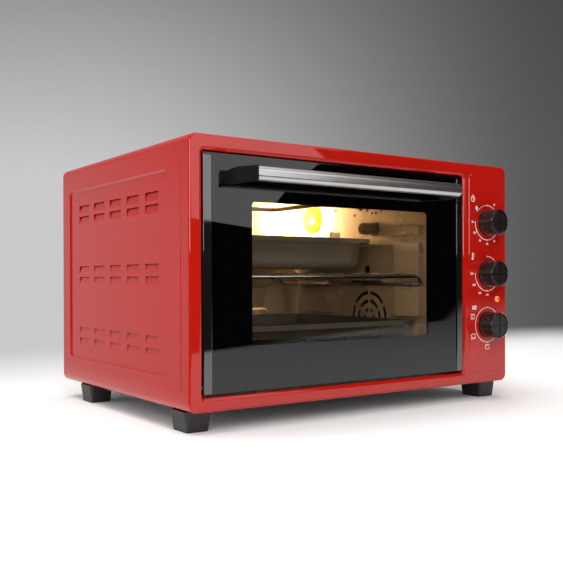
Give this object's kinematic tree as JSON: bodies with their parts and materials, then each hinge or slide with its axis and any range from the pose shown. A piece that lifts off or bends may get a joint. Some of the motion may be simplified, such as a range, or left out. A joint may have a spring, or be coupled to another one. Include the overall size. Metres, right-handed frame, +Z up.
{
  "type": "mini oven",
  "caption": "Countertop mini oven: enamelled casing, drop-down glass door with bar handle, control knobs, and a lit cavity with wire rack and baking trays.",
  "frame": {"origin": "on the table, under the middle of the whole outline with the handle and the cable inlet counted in", "axes": "+X to the user's right along the door, -Y out of the front towards the user, +Z up"},
  "size_m": [0.52, 0.442, 0.332],
  "materials": {
    "red_enamel": "gloss",
    "zinc_sheet": "satin",
    "cavity_steel": "satin",
    "dark_glass": "gloss",
    "clear_glass": "gloss",
    "lamp_glass": "gloss",
    "black_trim": "gloss",
    "handle_steel": "brushed",
    "door_pan_enamel": "satin",
    "knob_black": "satin",
    "foot_black": "matte",
    "screw_steel": "gloss",
    "pin_steel": "satin",
    "rack_chrome": "gloss",
    "tin_coating": "satin",
    "heater_steel": "satin",
    "seal_rubber": "matte",
    "control_plastic": "matte",
    "motor_iron": "matte",
    "fan_aluminium": "satin",
    "pilot_amber": "gloss",
    "ceramic_white": "matte",
    "gland_black": "matte"
  },
  "bodies": {
    "housing": {"base_panel": "zinc_sheet", "cable_gland": "gland_black", "cavity_back_wall": "cavity_steel", "cavity_ceiling": "cavity_steel", "cavity_flange": "cavity_steel", "cavity_floor": "cavity_steel", "cavity_left_wall": "cavity_steel", "cavity_right_wall": "cavity_steel", "control_bracket": "zinc_sheet", "door_seal": "seal_rubber", "door_springs": "pin_steel", "fan_housing": "cavity_steel", "fan_motor": "motor_iron", "foot_front_left": "foot_black", "foot_front_right": "foot_black", "foot_rear_left": "foot_black", "foot_rear_right": "foot_black", "foot_screws": "screw_steel", "front_frame": "red_enamel", "lamp_bulb": "lamp_glass", "lamp_cover": "lamp_glass", "lamp_holder": "ceramic_white", "left_hinge_plate": "pin_steel", "left_side_panel": "red_enamel", "lower_heater": "heater_steel", "pilot_lens": "pilot_amber", "rear_panel": "zinc_sheet", "rear_screws": "screw_steel", "right_hinge_plate": "pin_steel", "right_side_panel": "red_enamel", "selector_body": "control_plastic", "terminal_block": "ceramic_white", "thermostat_body": "control_plastic", "thermostat_probe": "pin_steel", "timer_body": "control_plastic", "top_panel": "red_enamel", "upper_heater": "heater_steel"},
    "door": {"door_outer_glass": "dark_glass", "door_inner_frame": "door_pan_enamel", "door_inner_glass": "clear_glass", "door_left_trim": "black_trim", "door_right_trim": "black_trim", "door_top_rail": "black_trim", "handle_tube": "handle_steel", "handle_left_bracket": "black_trim", "handle_right_bracket": "black_trim", "handle_screws": "screw_steel", "door_left_stay": "pin_steel", "door_right_stay": "pin_steel", "hinge_pins": "pin_steel"},
    "timer_control": {"timer_knob": "knob_black", "timer_shaft": "pin_steel"},
    "thermostat_control": {"thermostat_knob": "knob_black", "thermostat_shaft": "pin_steel"},
    "selector_control": {"selector_knob": "knob_black", "selector_shaft": "pin_steel"},
    "fan": {"fan_impeller": "fan_aluminium"},
    "rack": {"wire_rack": "rack_chrome"},
    "deep_tin": {"deep_tray": "tin_coating"},
    "flat_tin": {"flat_tray": "tin_coating"}
  },
  "joints": [
    {"name": "door_hinge", "type": "hinge", "parent": "housing", "child": "door", "pos_m": [-0.036, -0.1735, 0.0512], "axis": [1, 0, 0], "range_deg": [0, 90], "deforming": ["door_springs"]},
    {"name": "timer_turn", "type": "hinge", "parent": "housing", "child": "timer_control", "pos_m": [0.219, -0.18, 0.2507], "axis": [0, 1, 0], "range_deg": [-50, 270]},
    {"name": "thermostat_turn", "type": "hinge", "parent": "housing", "child": "thermostat_control", "pos_m": [0.219, -0.18, 0.1782], "axis": [0, 1, 0], "range_deg": [0, 270]},
    {"name": "selector_turn", "type": "hinge", "parent": "housing", "child": "selector_control", "pos_m": [0.219, -0.18, 0.1057], "axis": [0, 1, 0], "continuous": true},
    {"name": "fan_spin", "type": "hinge", "parent": "housing", "child": "fan", "pos_m": [0.155, -0.017, 0.114], "axis": [1, 0, 0], "continuous": true},
    {"name": "rack_slide", "type": "slide", "parent": "housing", "child": "rack", "axis": [0, -1, 0], "range_m": [0, 0.165]},
    {"name": "deep_tin_slide", "type": "slide", "parent": "housing", "child": "deep_tin", "axis": [0, -1, 0], "range_m": [0, 0.2045]},
    {"name": "flat_tin_slide", "type": "slide", "parent": "housing", "child": "flat_tin", "axis": [0, -1, 0], "range_m": [0, 0.11]}
  ],
  "couplings": [
    {"joint": "rack_slide", "follows": "door_hinge", "m_per_rad": 0.105},
    {"joint": "deep_tin_slide", "follows": "door_hinge", "m_per_rad": 0.13},
    {"joint": "flat_tin_slide", "follows": "door_hinge", "m_per_rad": 0.07}
  ]
}
